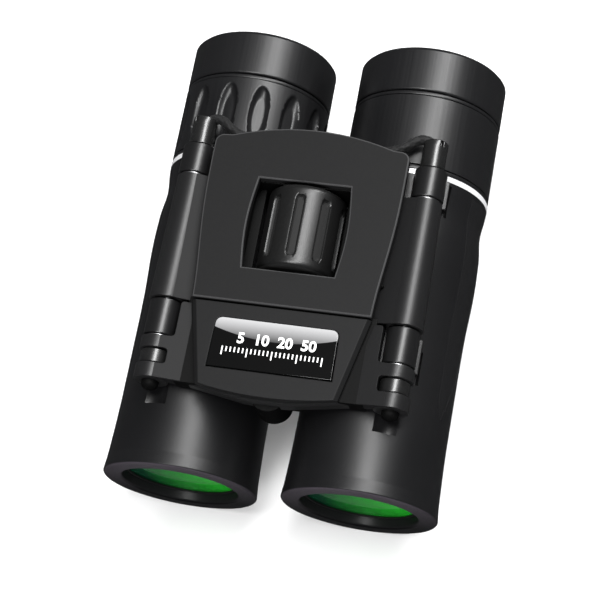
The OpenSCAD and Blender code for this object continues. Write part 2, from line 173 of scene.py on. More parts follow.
nylon = Finish("black_braided_nylon", Roughness=0.62, Sheen_Weight=0.05, Specular_IOR_Level=0.3)
fibres = nylon.noise(nylon.place(), 2600.0, 3.0)
nylon.feed("Base Color", nylon.mix(fibres, (0.0015, 0.0015, 0.0015, 1), (0.012, 0.012, 0.0125, 1)))
nylon.bump(fibres, 0.00008)

cord_radius = 1.1 * MM
half_route = [
    (-26.1, 24.4, 36.1), (-26.1, 25.4, 36.1), (-25.7, 26.6, 36.2), (-24.6, 27.5, 36.3),
    (-23.1, 27.7, 36.5), (-21.7, 27.1, 36.7), (-20.4, 26.0, 36.9), (-18.6, 24.8, 36.9),
    (-16.0, 23.9, 36.8), (-12.0, 23.2, 36.4), (-8.0, 22.8, 35.2), (-4.0, 22.6, 33.8)]
route = half_route + [(0, 22.6, 33.2)] + [(-x, y, z) for x, y, z in reversed(half_route)]
route = [Vector(point) * MM for point in route]


def flowing(points, steps):
    """Points along a smooth curve through the given ones."""
    ends = [2 * points[0] - points[1]] + points + [2 * points[-1] - points[-2]]
    curve = []
    for a, b, c, d in zip(ends, ends[1:], ends[2:], ends[3:]):
        for t in [step / steps for step in range(steps)]:
            curve.append(0.5 * (2 * b + (c - a) * t + (2 * a - 5 * b + 4 * c - d) * t ** 2
                                + (3 * b - a - 3 * c + d) * t ** 3))
    return curve + [points[-1]]


cord_line = flowing(route, 12)
cord_length = sum((b - a).length for a, b in zip(cord_line, cord_line[1:]))
strands = 6
plait = 2.6 * MM
bm = bmesh.new()
edges_before = []
walked = 0.0
for index, point in enumerate(cord_line):
    low, high = max(index - 1, 0), min(index + 1, len(cord_line) - 1)
    along = (cord_line[high] - cord_line[low]).normalized()
    walked += (point - cord_line[low]).length
    turned = Matrix.Translation(point) @ along.to_track_quat("Z", "Y").to_matrix().to_4x4()
    ring = bmesh.ops.create_circle(bm, segments=36, radius=cord_radius, matrix=turned)["verts"]
    for number, vert in enumerate(ring):
        twist = math.tau * walked / plait
        around = strands * math.tau * number / 36
        weave = math.cos((around + twist) / 2) * math.cos((around - twist) / 2)
        vert.co += (vert.co - point) * (0.11 * abs(weave) - 0.08)
    edges = list({edge for vert in ring for edge in vert.link_edges})
    if edges_before:
        bmesh.ops.bridge_loops(bm, edges=edges_before + edges)
    edges_before = edges
bmesh.ops.holes_fill(bm, edges=[edge for edge in bm.edges if edge.is_boundary])
bmesh.ops.recalc_face_normals(bm, faces=bm.faces)
cord = shown(bm, "braided_cord", nylon.material, 80, flats=False)
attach(cord, "bridge")
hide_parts("strap_cord")


# ---------------------------------------------------------------- floor and light
# A pale studio floor, one long soft box over the barrels that draws a streak down
# each of them, and weak fill from the front and the rear, which gloss doesn't show.
pale = Finish("pale_floor", Roughness=0.55, Specular_IOR_Level=0.3)
pale.feed("Base Color", pale.mix(pale.noise(pale.place(), 6.0), (0.86, 0.86, 0.86, 1), (0.9, 0.9, 0.9, 1)))
bm = bmesh.new()
bmesh.ops.create_grid(bm, x_segments=2, y_segments=2, size=3)
floor = shown(bm, "floor", pale.material)
floor.visible_glossy = False


def soft_box(name, place, look_at, size, power, mirrored=True):
    """A rectangular lamp, size x by size y, that faces a point. Unless mirrored, gloss doesn't show it."""
    lamp = bpy.data.lights.new(name, "AREA")
    lamp.shape = "RECTANGLE"
    lamp.size, lamp.size_y = size
    lamp.energy = power
    holder = bpy.data.objects.new(name, lamp)
    bpy.context.scene.collection.objects.link(holder)
    holder.matrix_world = Matrix.Translation(place) @ (
        Vector(place) - Vector(look_at)).to_track_quat("Z", "Y").to_matrix().to_4x4()
    holder.visible_glossy = mirrored


middle = (0, 0, 0.02)
soft_box("overhead_strip", (0.19, 0.25, 0.85), middle, (0.2, 1.3), 14.0)
soft_box("front_fill", (0.0, -2.2, 1.3), (0, -0.2, 0), (3.0, 1.2), 95.0, mirrored=False)
soft_box("rear_fill", (0.0, 2.3, 1.2), (0, 0.3, 0), (3.0, 1.2), 95.0, mirrored=False)
world = bpy.data.worlds.new("studio")
bpy.context.scene.world = world
world.use_nodes = True
world.node_tree.nodes["Background"].inputs[0].default_value = (0.95, 0.97, 1.0, 1)
world.node_tree.nodes["Background"].inputs[1].default_value = 0.06
bpy.context.scene.view_settings.view_transform = "Standard"


# ---------------------------------------------------------------- barrel shells
# Each barrel is a moulded black tube, slightly waisted under the bright ring. A
# hollow along its top takes the hinge, and two knuckles stand in that hollow.
rim_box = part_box("right_objective_rim")
cap_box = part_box("strap_caps")
barrel_axis = Vector(((rim_box[0].x + rim_box[1].x) / 2, 0, (rim_box[0].z + rim_box[1].z) / 2))
cap_radius = (cap_box[1].z - cap_box[0].z) / 2
hinge_axis = Vector((cap_box[1].x - cap_radius, 0, cap_box[1].z - cap_radius))
to_hinge = hinge_axis - barrel_axis
hinge_angle = math.atan2(to_hinge.z, to_hinge.x)
SIDES = (("left", -1), ("right", 1))


def lathe(profile, axis=barrel_axis, steps=192, start=0.0):
    """Turns a profile of (station, radius) points, in millimetres, round a lengthwise axis."""
    bm = bmesh.new()
    out = Vector((math.cos(start), 0, math.sin(start)))
    verts = [bm.verts.new(axis + out * (radius * MM) + Vector((0, at(station), 0)))
             for station, radius in profile]
    solid_core = profile[0][1] == 0 and profile[-1][1] == 0
    chain = list(zip(verts, verts[1:] + ([] if solid_core else verts[:1])))
    edges = [bm.edges.new(pair) for pair in chain]
    bmesh.ops.spin(bm, geom=verts + edges, cent=axis, axis=(0, 1, 0), angle=math.tau,
                   steps=steps, use_merge=True)
    bmesh.ops.remove_doubles(bm, verts=bm.verts, dist=1e-6)
    bmesh.ops.recalc_face_normals(bm, faces=bm.faces)
    return bm


def soften(bm, width, least=30, segments=2):
    """Rounds every edge at which the faces meet at more than least degrees."""
    sharp = [edge for edge in bm.edges
             if len(edge.link_faces) == 2 and edge.calc_face_angle() > math.radians(least)]
    bmesh.ops.bevel(bm, geom=sharp, offset=width * MM, offset_type="OFFSET", segments=segments,
                    profile=0.5, affect="EDGES", clamp_overlap=True, material=-1)


def on_side(bm, side):
    """Carries a bmesh made for the right barrel over to its own side."""
    if side < 0:
        bmesh.ops.scale(bm, vec=(-1, 1, 1), verts=bm.verts)
        bmesh.ops.reverse_faces(bm, faces=bm.faces)
    return bm


def swell(station, middle, half):
    """A smooth hump of height 1."""
    off = abs(station - middle)
    return (1 + math.cos(math.pi * off / half)) / 2 if off < half else 0


def shell_radius(station):
    """Outer radius of the barrel, in millimetres."""
    rise = min(max((station - 34) / 24, 0), 1)
    flare = max(20 - station, 0) / 20
    return (16.45 + 0.35 * (1 - math.cos(math.pi * rise)) / 2 - 0.55 * swell(station, 66.5, 6.2)
            + 0.25 * swell(station, 53, 12) + 0.6 * flare ** 2)


moulded = Finish("moulded_black_plastic", Coat_Weight=0.0, Specular_IOR_Level=0.45)
fine = moulded.noise(moulded.place(), 3200.0, 2.0)
cloudy = moulded.noise(moulded.place(), 60.0, 2.0)
moulded.feed("Base Color", moulded.mix(cloudy, (0.0045, 0.0045, 0.005, 1), (0.0075, 0.0075, 0.008, 1)))
moulded.feed("Roughness", 0.33 + 0.08 * cloudy)
moulded.bump(fine, 0.00002, 0.5)

shell_front = 3.2
shell_rear = 72.7
bore = 12.6
valley_radius = 4.4 * MM
bed_depth = 0.6


def valley_floor(point):
    """How far from the barrel's axis the hinge's hollow lets a point stay."""
    out = Vector((point.x, 0, point.z)) - barrel_axis
    turn = math.atan2(out.z, out.x) - hinge_angle
    across = to_hinge.length * math.sin(turn)
    if math.cos(turn) < 0 or abs(across) >= valley_radius:
        return out.length
    return min(out.length, to_hinge.length * math.cos(turn) - math.sqrt(valley_radius ** 2 - across ** 2))


def shell_blank(steps=240):
    stations = sorted({shell_front, 13.7, 13.8, shell_rear}
                      | {shell_front + 1.25 * step for step in range(56) if 1.25 * step < 69.4})
    outer = [(station, shell_radius(station)) for station in stations]
    return lathe(outer + [(shell_rear, bore), (shell_front, bore)], steps=steps, start=hinge_angle)


def angle_of(point):
    """Degrees round the barrel's axis from the outer side upwards."""
    return math.degrees(math.atan2(point.z - barrel_axis.z, point.x - barrel_axis.x))


def grip_faces(bm):
    """The outer faces under the rubber: the outer and lower side, cut slantwise at the front."""
    wanted = []
    for face in bm.faces:
        middle = face.calc_center_median()
        station = (middle.y - front_face) / MM
        turn = angle_of(middle)
        distance = math.hypot(middle.x - barrel_axis.x, middle.z - barrel_axis.z)
        if distance > 15 * MM and station < 71.4 and (turn < 30 and turn > -150) \
                and station > 20.5 + 0.62 * abs(turn - 24):
            wanted.append(face)
    return wanted


def root_slots(bm):
    """The faces at the bottom of the narrow slots beside the knuckles' roots."""
    wanted = []
    for face in bm.faces:
        spot = face.calc_center_median()
        beside = math.degrees(hinge_angle) - angle_of(spot)
        station = (spot.y - front_face) / MM
        if 16.5 < beside < 19.5 and (spot - barrel_axis).xz.length > 15 * MM \
                and any(low < station < high for low, high in ((26.2, 33.6), (64.0, 72.0))):
            wanted.append(face)
    return wanted


for name, side in SIDES:
    bm = shell_blank()
    for vert in bm.verts:
        if at(13.75) < vert.co.y < at(73):
            out = Vector((vert.co.x, 0, vert.co.z)) - barrel_axis
            if out.length > 14 * MM:
                vert.co += out.normalized() * (valley_floor(vert.co) - out.length)
    bmesh.ops.inset_region(bm, faces=grip_faces(bm), thickness=0.08 * MM, depth=-bed_depth * MM,
                           use_even_offset=True)
    bmesh.ops.inset_region(bm, faces=root_slots(bm), thickness=0.03 * MM, depth=-1.2 * MM)
    shell = shown(on_side(bm, side), name + "_barrel_shell", moulded.material)
    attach(shell, name + "_barrel")
    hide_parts(name + "_housing")

# ---------------------------------------------------------------- hinge knuckles
# Two plain bosses of the same moulding as the shell, bored for the steel axle. Each
# stands on a short root, with a narrow slot beside it.
knuckles = {"front": (27.4, 35.4), "rear": (65.5, 72.4)}
satin = Finish("satin_black_plastic", Specular_IOR_Level=0.55)
satin_grain = satin.noise(satin.place(), 2500.0, 2.0)
satin.feed("Base Color", satin.mix(satin_grain, (0.005, 0.005, 0.005, 1), (0.008, 0.008, 0.0085, 1)))
satin.feed("Roughness", 0.27 + 0.06 * satin_grain)
satin.bump(satin_grain, 0.00001, 0.4)


def box_on_hinge(span, across, high):
    """A block in the barrel's own directions: across the hinge line, and out from the axis."""
    bm = bmesh.new()
    size = (high[1] - high[0], span[1] - span[0], across[1] - across[0])
    centre = ((high[0] + high[1]) / 2, 0, (across[0] + across[1]) / 2)
    place = (Matrix.Translation(barrel_axis + Vector((0, at((span[0] + span[1]) / 2), 0)))
             @ Matrix.Rotation(-hinge_angle, 4, "Y") @ Matrix.Translation(Vector(centre) * MM)
             @ Matrix.Diagonal((size[0] * MM, size[1] * MM, size[2] * MM, 1)))
    bmesh.ops.create_cube(bm, size=1, matrix=place)
    return bm


def joined(*parts):
    """One bmesh from several, which are used up."""
    whole = bmesh.new()
    for part in parts:
        scratch = bpy.data.meshes.new("scratch")
        part.to_mesh(scratch)
        part.free()
        whole.from_mesh(scratch)
        bpy.data.meshes.remove(scratch)
    return whole


for name, side in SIDES:
    parts = []
    for low, high in knuckles.values():
        ring = lathe([(low, 1.55), (low, 3.6), (high, 3.6), (high, 1.55)], hinge_axis, 64)
        soften(ring, 0.25)
        root = box_on_hinge((low + 0.05, high - 0.05), (-2.9, 2.9), (13.6, 17.8))
        foot = box_on_hinge((low + 0.05, high - 0.05), (-4.9, -2.0), (14.6, 17.3))
        soften(root, 0.3)
        soften(foot, 0.3)
        parts += [ring, root, foot]
    bosses = shown(on_side(joined(*parts), side), name + "_hinge_knuckles", satin.material)
    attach(bosses, name + "_barrel")
    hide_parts(name + "_housing")

# ---------------------------------------------------------------- rubber grips
# A thin rubber skin on the outer and lower side of each barrel, pressed into a
# shallow bed. Its front edge runs slantwise, and shows as a fine crease.
rubber = Finish("fine_grip_rubber", Specular_IOR_Level=0.35)
pores = rubber.noise(rubber.place(), 1500.0, 4.0)
rubber.feed("Base Color", rubber.mix(pores, (0.005, 0.005, 0.0055, 1), (0.009, 0.009, 0.0095, 1)))
rubber.feed("Roughness", 0.4 + 0.12 * pores)
rubber.bump(pores, 0.00004, 0.5)
for name, side in SIDES:
    bm = shell_blank()
    kept = set(grip_faces(bm))
    bmesh.ops.delete(bm, geom=[face for face in bm.faces if face not in kept], context="FACES")
    for vert in bm.verts:
        out = Vector((vert.co.x, 0, vert.co.z)) - barrel_axis
        vert.co -= out.normalized() * (bed_depth - 0.02) * MM
    skin = bmesh.ops.extrude_face_region(bm, geom=list(bm.faces))
    for vert in [item for item in skin["geom"] if isinstance(item, bmesh.types.BMVert)]:
        out = Vector((vert.co.x, 0, vert.co.z)) - barrel_axis
        vert.co += out.normalized() * (bed_depth - 0.02) * MM
    bmesh.ops.recalc_face_normals(bm, faces=bm.faces)
    soften(bm, 0.16, 50)
    grip = shown(on_side(bm, side), name + "_rubber_grip", rubber.material)
    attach(grip, name + "_barrel")
    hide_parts(name + "_grip")

# ---------------------------------------------------------------- objective rims
# A moulded ring on the front of each barrel, flush with its shell. Its flat smoky face
# has a tight round outside and a small bevel that leads in to the lens. The face's
# colour is painted shade: lighter at the top, near black at the bottom.
rim_finish = Finish("rim_plastic_painted_shade", Specular_IOR_Level=0.45)
rim_grain = rim_finish.noise(rim_finish.place(), 2400.0, 2.0)
on_face = 1.0 - rim_finish.along(1).above(front_face / MM + 0.3, 0.1)
# Painted shade: the face's colour runs from near black at the bottom to smoky purple at the top.
rim_face_painted_shade = rim_finish.mix((rim_finish.along(2) - 9.0) * (1 / 24), (0.0015, 0.0014, 0.0016, 1),
                       (0.034, 0.029, 0.036, 1))
side_black = rim_finish.mix(rim_grain, (0.0045, 0.0045, 0.005, 1), (0.0075, 0.0075, 0.008, 1))
rim_finish.feed("Base Color", rim_finish.mix(on_face, side_black, rim_face_painted_shade))
rim_finish.feed("Roughness", 0.34 + 0.08 * rim_grain)
rim_finish.bump(rim_grain, 0.00001, 0.4)
rim_profile = [(2.4, 12.5), (0.4, 12.9), (0.0, 13.3), (0.0, 16.75), (0.4, 17.15),
               (shell_front, shell_radius(shell_front)), (shell_front, 12.5)]
for name, side in SIDES:
    rim = lathe(rim_profile)
    rounded_front = [edge for edge in rim.edges if len(edge.link_faces) == 2
                     and edge.calc_face_angle() > math.radians(15)
                     and edge.verts[0].co.y < at(shell_front - 0.1)]
    bmesh.ops.bevel(rim, geom=rounded_front, offset=0.15 * MM, offset_type="OFFSET", segments=2,
                    profile=0.5, affect="EDGES", clamp_overlap=True, material=-1)
    rim = shown(on_side(rim, side), name + "_front_rim", rim_finish.material)
    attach(rim, name + "_barrel")
    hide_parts(name + "_objective_rim")

# ---------------------------------------------------------------- objective lenses
# A coated doublet behind a black threaded ring. The coating's green is painted light: a
# weak glow in place of its reflection, deep at one side and bright at the other.
threaded = Finish("matt_black_ring", Roughness=0.5, Specular_IOR_Level=0.3)
threaded.feed("Base Color", threaded.mix(threaded.noise(threaded.place(), 1800.0), (0.004, 0.004, 0.004, 1),
                                         (0.009, 0.009, 0.009, 1)))
coated = Finish("green_coated_glass_painted_glow", Roughness=0.08, Coat_Weight=1.0, Coat_Roughness=0.02,
                Emission_Strength=0.3)
lens_across = coated.along(0)
lens_is_right = lens_across.above(0.0, 0.5)
from_axis = (lens_is_right * (lens_across - barrel_axis.x / MM)
             + (1.0 - lens_is_right) * (lens_across + barrel_axis.x / MM))
# Painted light: a weak green glow, darker to the left and brighter to the right, stands in for the
# coating's reflection.
painted_glow = coated.mix((from_axis + 9.0) * (1 / 17), (0.0, 0.022, 0.009, 1), (0.008, 0.24, 0.012, 1))
coated.feed("Base Color", painted_glow)
coated.feed("Emission Color", painted_glow)


def lens_profile(front, thick, radius, bulge_front, bulge_rear):
    """Half a lens with two rounded faces, drawn from its axis outwards and back."""
    shares = [step / 12 for step in range(13)]
    face = [(front + bulge_front * share ** 2, radius * share) for share in shares]
    return face + [(front + thick - bulge_rear * share ** 2, radius * share) for share in reversed(shares)]


for name, side in SIDES:
    glass = lathe(lens_profile(2.0, 4.4, 12.3, 0.6, 0.6), steps=96)
    glass = shown(on_side(glass, side), name + "_front_lens", coated.material)
    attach(glass, name + "_barrel")
    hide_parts(name + "_objective_lens")
    ring = lathe([(2.1, 12.0), (2.1, 12.5), (5.0, 12.5), (5.0, 12.35), (2.55, 12.35), (2.55, 12.0)])
    soften(ring, 0.1)
    ring = shown(on_side(ring, side), name + "_lens_retainer", threaded.material)
    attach(ring, name + "_barrel")
    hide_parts(name + "_lens_ring")

# ---------------------------------------------------------------- bright rings
# A narrow silver-painted ring between each shell and its eyepiece tube.
silver = Finish("silver_paint", Metallic=0.35, Specular_IOR_Level=0.6)
silver_grain = silver.noise(silver.place(), 900.0)
silver.feed("Base Color", silver.mix(silver_grain, (0.78, 0.78, 0.79, 1), (0.88, 0.88, 0.89, 1)))
silver.feed("Roughness", 0.28 + 0.08 * silver_grain)
for name, side in SIDES:
    ring = lathe([(72.7, 14.2), (72.7, 16.85), (74.0, 16.85), (74.0, 14.2)])
    soften(ring, 0.15)
    ring = shown(on_side(ring, side), name + "_bright_ring", silver.material)
    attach(ring, name + "_barrel")
    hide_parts(name + "_accent_ring")

# ---------------------------------------------------------------- eyepiece tubes
# The tube that the dioptre ring and the eyecup turn on. Only two narrow bands of
# it show, one behind the bright ring and one between two fine grooves.
turned_black = Finish("turned_black_plastic", Specular_IOR_Level=0.5)
streaks = turned_black.noise(turned_black.place((2200, 25, 2200)), 1.0, 3.0)
turned_black.feed("Base Color", turned_black.mix(streaks, (0.005, 0.005, 0.0055, 1),
                                                 (0.008, 0.008, 0.0085, 1)))
turned_black.feed("Roughness", 0.3 + 0.14 * streaks)
turned_black.bump(streaks, 0.00003, 0.4)
for name, side in SIDES:
    tube = lathe([(71.6, 12.9), (71.6, 14.2), (74.05, 14.2), (74.05, 16.75), (75.0, 16.75), (75.0, 14.2),
                  (91.95, 14.2), (91.95, 16.7), (92.75, 16.7), (92.75, 14.2), (97.6, 14.2), (97.6, 12.9)])
    soften(tube, 0.12)
    tube = shown(on_side(tube, side), name + "_eyepiece_barrel", turned_black.material)
    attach(tube, name + "_barrel")
    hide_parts(name + "_eyepiece_tube")

# ---------------------------------------------------------------- dioptre ring and plain sleeve
# The left eyepiece turns to match the user's eyes, so its ring has deep oval finger
# recesses. The right one has a plain sleeve of the same size.
ring_front, ring_rear = 75.2, 91.8
recess_count = 14
recess_half = (2.2, 6.9)
recess_depth = 1.15
first_recess = math.radians(73.8)


def sleeve(rows, steps):
    rise = ring_rear - ring_front
    outer = [(ring_front + rise * row / rows, 16.8) for row in range(rows + 1)]
    return lathe(outer + [(ring_rear, 14.3), (ring_front, 14.3)], steps=steps)


bm = sleeve(60, 28 * recess_count)
on_side(bm, -1)
left_axis = Vector((-barrel_axis.x, 0, barrel_axis.z))
for vert in bm.verts:
    out = Vector((vert.co.x, 0, vert.co.z)) - left_axis
    if out.length > 16 * MM:
        turn = math.atan2(out.z, out.x) - first_recess
        pitch = math.tau / recess_count
        across = (turn - pitch * round(turn / pitch)) * 16.8 / recess_half[0]
        along = ((vert.co.y - at((ring_front + ring_rear) / 2)) / MM) / recess_half[1]
        inside = 1 - across ** 2 - abs(along) ** 2.2
        if inside > 0:
            vert.co -= out.normalized() * recess_depth * MM * min(inside * 1.6, 1) ** 0.6
bmesh.ops.recalc_face_normals(bm, faces=bm.faces)
ring = shown(bm, "dioptre_grip_ring", turned_black.material, 60, flats=False)
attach(ring, "dioptre")
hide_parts("dioptre_ring")
bm = sleeve(4, 192)
soften(bm, 0.15)
ring = shown(bm, "right_plain_sleeve", turned_black.material)
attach(ring, "right_barrel")
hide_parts("right_eyepiece_sleeve")

# ---------------------------------------------------------------- eyecups
# Twist-up cups with a chamfered lip and a well that falls away to the eye lens.
cup_profile = [(93.05, 14.3), (93.05, 16.6), (93.35, 16.8), (103.05, 16.8), (103.95, 15.95),
               (104.0, 14.4), (103.6, 13.6), (101.0, 12.2), (98.2, 12.2), (98.2, 14.3)]
for name, side in SIDES:
    cup = lathe(cup_profile)
    soften(cup, 0.18)
    cup = shown(on_side(cup, side), name + "_twist_eyecup", turned_black.material)
    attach(cup, name + "_eyecup_body")
    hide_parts(name + "_eyecup")

# ---------------------------------------------------------------- bridge tubes
# The moulded bridge carries both axles: a long tapered tube, a short ring and an
# end boss on each side. The tube is opened below, where the focusing arm swings.
bridge_plastic = Finish("bridge_black_plastic", Specular_IOR_Level=0.45)
bridge_grain = bridge_plastic.noise(bridge_plastic.place(), 2600.0, 3.0)
bridge_plastic.feed("Base Color", bridge_plastic.mix(bridge_grain, (0.007, 0.007, 0.0073, 1),
                                                     (0.011, 0.011, 0.0113, 1)))
bridge_plastic.feed("Roughness", 0.31 + 0.08 * bridge_grain)
bridge_plastic.bump(bridge_grain, 0.000015, 0.5)

tube_span = (35.8, 65.1)
tube_radii = (4.05, 3.5)
ring_span, ring_radius = (24.2, 27.0), 3.8
boss_span = (17.5, 20.8)
arm_window = (38.5, 42.1)
arm_sector = (-139, -33)


def tube_radius(station):
    share = (station - tube_span[0]) / (tube_span[1] - tube_span[0])
    return tube_radii[0] + (tube_radii[1] - tube_radii[0]) * min(max(share, 0), 1)


def bridge_tube():
    outer = [(station, tube_radius(station)) for station in (tube_span[0],) + arm_window + (tube_span[1],)]
    inner = [(tube_span[1], 1.55), (43.6, 1.55), (43.6, 3.15), (arm_window[1], 3.15),
             (arm_window[0], 3.15), (37.0, 3.15), (37.0, 1.55), (tube_span[0], 1.55)]
    tube = lathe(outer + inner, hinge_axis, 96)
    opened = []
    for face in tube.faces:
        spot = face.calc_center_median()
        turn = math.degrees(math.atan2(spot.z - hinge_axis.z, spot.x - hinge_axis.x))
        round_axis = abs(face.normal.y) < 0.3 and math.hypot(
            spot.x - hinge_axis.x, spot.z - hinge_axis.z) > 3 * MM
        if round_axis and at(arm_window[0]) < spot.y < at(arm_window[1]) \
                and arm_sector[0] < turn < arm_sector[1]:
            opened.append(face)
    bmesh.ops.delete(tube, geom=opened, context="FACES")
    bmesh.ops.bridge_loops(tube, edges=[edge for edge in tube.edges if edge.is_boundary])
    bmesh.ops.recalc_face_normals(tube, faces=tube.faces)
    soften(tube, 0.18, 60)
    return tube


for name, side in SIDES:
    parts = [bridge_tube()]
    for low, high in (ring_span, boss_span):
        ring = lathe([(low, 1.55), (low, ring_radius), (high, ring_radius), (high, 1.55)], hinge_axis, 96)
        soften(ring, 0.2)
        parts.append(ring)
    tubes = shown(on_side(joined(*parts), side), name + "_hinge_tubes", bridge_plastic.material)
    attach(tubes, "bridge")
    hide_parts("bridge_frame")

# ---------------------------------------------------------------- bridge flanks
# Thin shelves of the same moulding that slope down from the tubes to the covers,
# with a notch round the front knuckle and another round the axle nut. They are
# given a darker, matter copy of the bridge plastic as painted shade.
flank_finish = Finish("matt_flank_plastic_painted_shade", Specular_IOR_Level=0.2)
flank_grain = flank_finish.noise(flank_finish.place(), 2600.0, 3.0)
# Painted shade: a darker base than the bridge plastic, so the flanks read as shaded.
flank_finish.feed("Base Color", flank_finish.mix(flank_grain, (0.005, 0.005, 0.0053, 1),
                                                 (0.008, 0.008, 0.0083, 1)))
flank_finish.feed("Roughness", 0.5 + 0.08 * flank_grain)
flank_finish.bump(flank_grain, 0.000015, 0.5)


def cover_half(station):
    """Half the width of the top cover at a station, in millimetres."""
    share = min(max((station - 32) / 40, 0), 1)
    return 19.5 + 1.1 * (1 - math.cos(math.pi * share)) + 0.35 * swell(station, 54, 18)


def lower_half(station):
    """Half the width of the lower cover at a station, in millimetres."""
    return 15.4 + (station - 17.2) * 0.2228


def flank_height(x, radius, slope):
    """Height of a plane that leans on a tube of that radius and falls towards the middle."""
    lean = math.atan(slope)
    touch = hinge_axis.x / MM - radius * math.sin(lean)
    return hinge_axis.z / MM + radius * math.cos(lean) - max(touch - x, 0) * slope


def thickened(bm, shift):
    """Gives a bmesh of open faces a thickness: they are extruded by a vector, in metres."""
    made = bmesh.ops.extrude_face_region(bm, geom=list(bm.faces))["geom"]
    bmesh.ops.translate(bm, vec=shift,
                        verts=[item for item in made if isinstance(item, bmesh.types.BMVert)])
    bmesh.ops.recalc_face_normals(bm, faces=bm.faces)
    return bm


def shelf(outline, radius, slope, thickness):
    """A sloping plate with an outline of (x, station) points, in millimetres."""
    bm = bmesh.new()
    bm.faces.new([bm.verts.new((x * MM, at(s), flank_height(x, radius(s), slope) * MM))
                  for x, s in outline])
    return thickened(bm, (0, 0, -thickness * MM))


upper_stations = [tube_span[0] + (tube_span[1] - tube_span[0]) * step / 10 for step in range(11)]
upper_outline = [(18.8, s) for s in upper_stations]
upper_outline += [(25.0, s) for s in reversed(upper_stations)]
lower_outline = [(lower_half(17.6) + 0.5, 17.6), (lower_half(35.3) + 0.5, 35.3), (22.1, 35.3), (22.1, 27.2),
                 (25.1, 27.0), (25.1, 24.2), (22.9, 24.2), (22.9, 20.8), (25.1, 20.8), (25.1, 17.5)]
upper_slope = math.tan(math.radians(19))
lower_slope = math.tan(math.radians(11))
for name, side in SIDES:
    upper = shelf(upper_outline, tube_radius, upper_slope, 0.9)
    lower = shelf(lower_outline, lambda station: ring_radius, lower_slope, 3.2)
    corners = [edge for edge in lower.edges
               if abs(edge.verts[0].co.y - edge.verts[1].co.y) < 1e-6
               and abs(edge.verts[0].co.x - edge.verts[1].co.x) < 1e-6
               and 22 * MM < edge.verts[0].co.x < 23 * MM]
    bmesh.ops.bevel(lower, geom=corners, offset=0.7 * MM, offset_type="OFFSET", segments=4,
                    profile=0.5, affect="EDGES", clamp_overlap=True, material=-1)
    whole = joined(upper, lower)
    soften(whole, 0.18, 40)
    flanks = shown(on_side(whole, side), name + "_bridge_flanks", flank_finish.material)
    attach(flanks, "bridge")
    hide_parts("bridge_frame")

# ---------------------------------------------------------------- bridge core
# The block under the covers, which fills the space between the barrels. It is open
# for the focus wheel and for the yoke, and ends in a rounded nose at the front. Its
# plastic is near black, as painted shade in the wheel's well.
near_black_core_painted_shade = Finish("matt_core_plastic_painted_shade", Specular_IOR_Level=0.15)
core_grain = near_black_core_painted_shade.noise(near_black_core_painted_shade.place(), 2200.0, 2.0)
# Painted shade: a near-black base, darker than the other black plastics, so the well and the feet read as
# shaded.
near_black_core_painted_shade.feed("Base Color", near_black_core_painted_shade.mix(core_grain, (0.001, 0.001, 0.001, 1),
                                                 (0.002, 0.002, 0.002, 1)))
near_black_core_painted_shade.feed("Roughness", 0.6 + 0.1 * core_grain)
barrel_clearance = 17.4


def between_barrels(low, high, top):
    """A block between two stations whose lower faces follow the barrels."""
    arc = [math.radians(angle) for angle in (90, 96, 103, 110, 117, 124, 131, 138, 143.3)]
    right_half = [(barrel_axis.x / MM + barrel_clearance * math.cos(a),
                   barrel_axis.z / MM + barrel_clearance * math.sin(a)) for a in arc]
    ring = [(20.6, right_half[0][1])] + right_half
    ring = [(20.6, top)] + ring + [(-x, z) for x, z in reversed(ring)] + [(-20.6, top)]
    bm = bmesh.new()
    bm.faces.new([bm.verts.new((x * MM, at(low), z * MM)) for x, z in ring])
    return thickened(bm, (0, (high - low) * MM, 0))


def block(low, high):
    """A plain block between two corners of (x, station, z), in millimetres."""
    bm = bmesh.new()
    centre = [(a + b) / 2 for a, b in zip(low, high)]
    size = [(b - a) * MM for a, b in zip(low, high)]
    place = (Matrix.Translation((centre[0] * MM, at(centre[1]), centre[2] * MM))
             @ Matrix.Diagonal((*size, 1)))
    bmesh.ops.create_cube(bm, size=1, matrix=place)
    return bm


parts = [between_barrels(17.4, 36.9, 38.6), between_barrels(43.6, 44.3, 39.3),
         between_barrels(64.5, 71.2, 39.3)]
# A wall on each side of the wheel, with a ledge at its foot that closes the well.
for inner, outer, top in ((11.4, 18.9, 39.3), (-18.9, -11.4, 39.3), (9.2, 11.6, 35.6), (-11.6, -9.2, 35.6)):
    parts.append(block((inner, 44.2, 34.8), (outer, 64.6, top)))
nose = bmesh.new()
bmesh.ops.create_cone(nose, cap_ends=True, segments=48, radius1=4 * MM, radius2=4 * MM, depth=9.4 * MM,
                      matrix=Matrix.Translation((0, at(17.9), 32.3 * MM)))
parts.append(nose)
core = joined(*parts)
soften(core, 0.4, 50)
core = shown(core, "bridge_core", near_black_core_painted_shade.material)
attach(core, "bridge")
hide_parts("bridge_frame")

# The apron is the front wall of the bridge, with a full round along its lower edge.
bm = bmesh.new()
apron_front = [(x, 15.2 + 2.9 * max(abs(x) - 4, 0) / 17.6) for x in
               [25.0 * step / 10 for step in range(-10, 11)]]
outline = apron_front + [(25.0, 20.6), (16.9, 22.0), (-16.9, 22.0), (-25.0, 20.6)]
bm.faces.new([bm.verts.new((x * MM, at(s), 35.2 * MM)) for x, s in outline])
thickened(bm, (0, 0, 3.1 * MM))
lip = [edge for edge in bm.edges if all(vert.co.z > 38 * MM and vert.co.y < at(19) for vert in edge.verts)]
bmesh.ops.bevel(bm, geom=lip, offset=1.1 * MM, offset_type="OFFSET", segments=5, profile=0.5,
                affect="EDGES", clamp_overlap=True, material=-1)
apron = shown(bm, "bridge_apron", bridge_plastic.material)
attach(apron, "bridge")
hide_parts("bridge_frame")

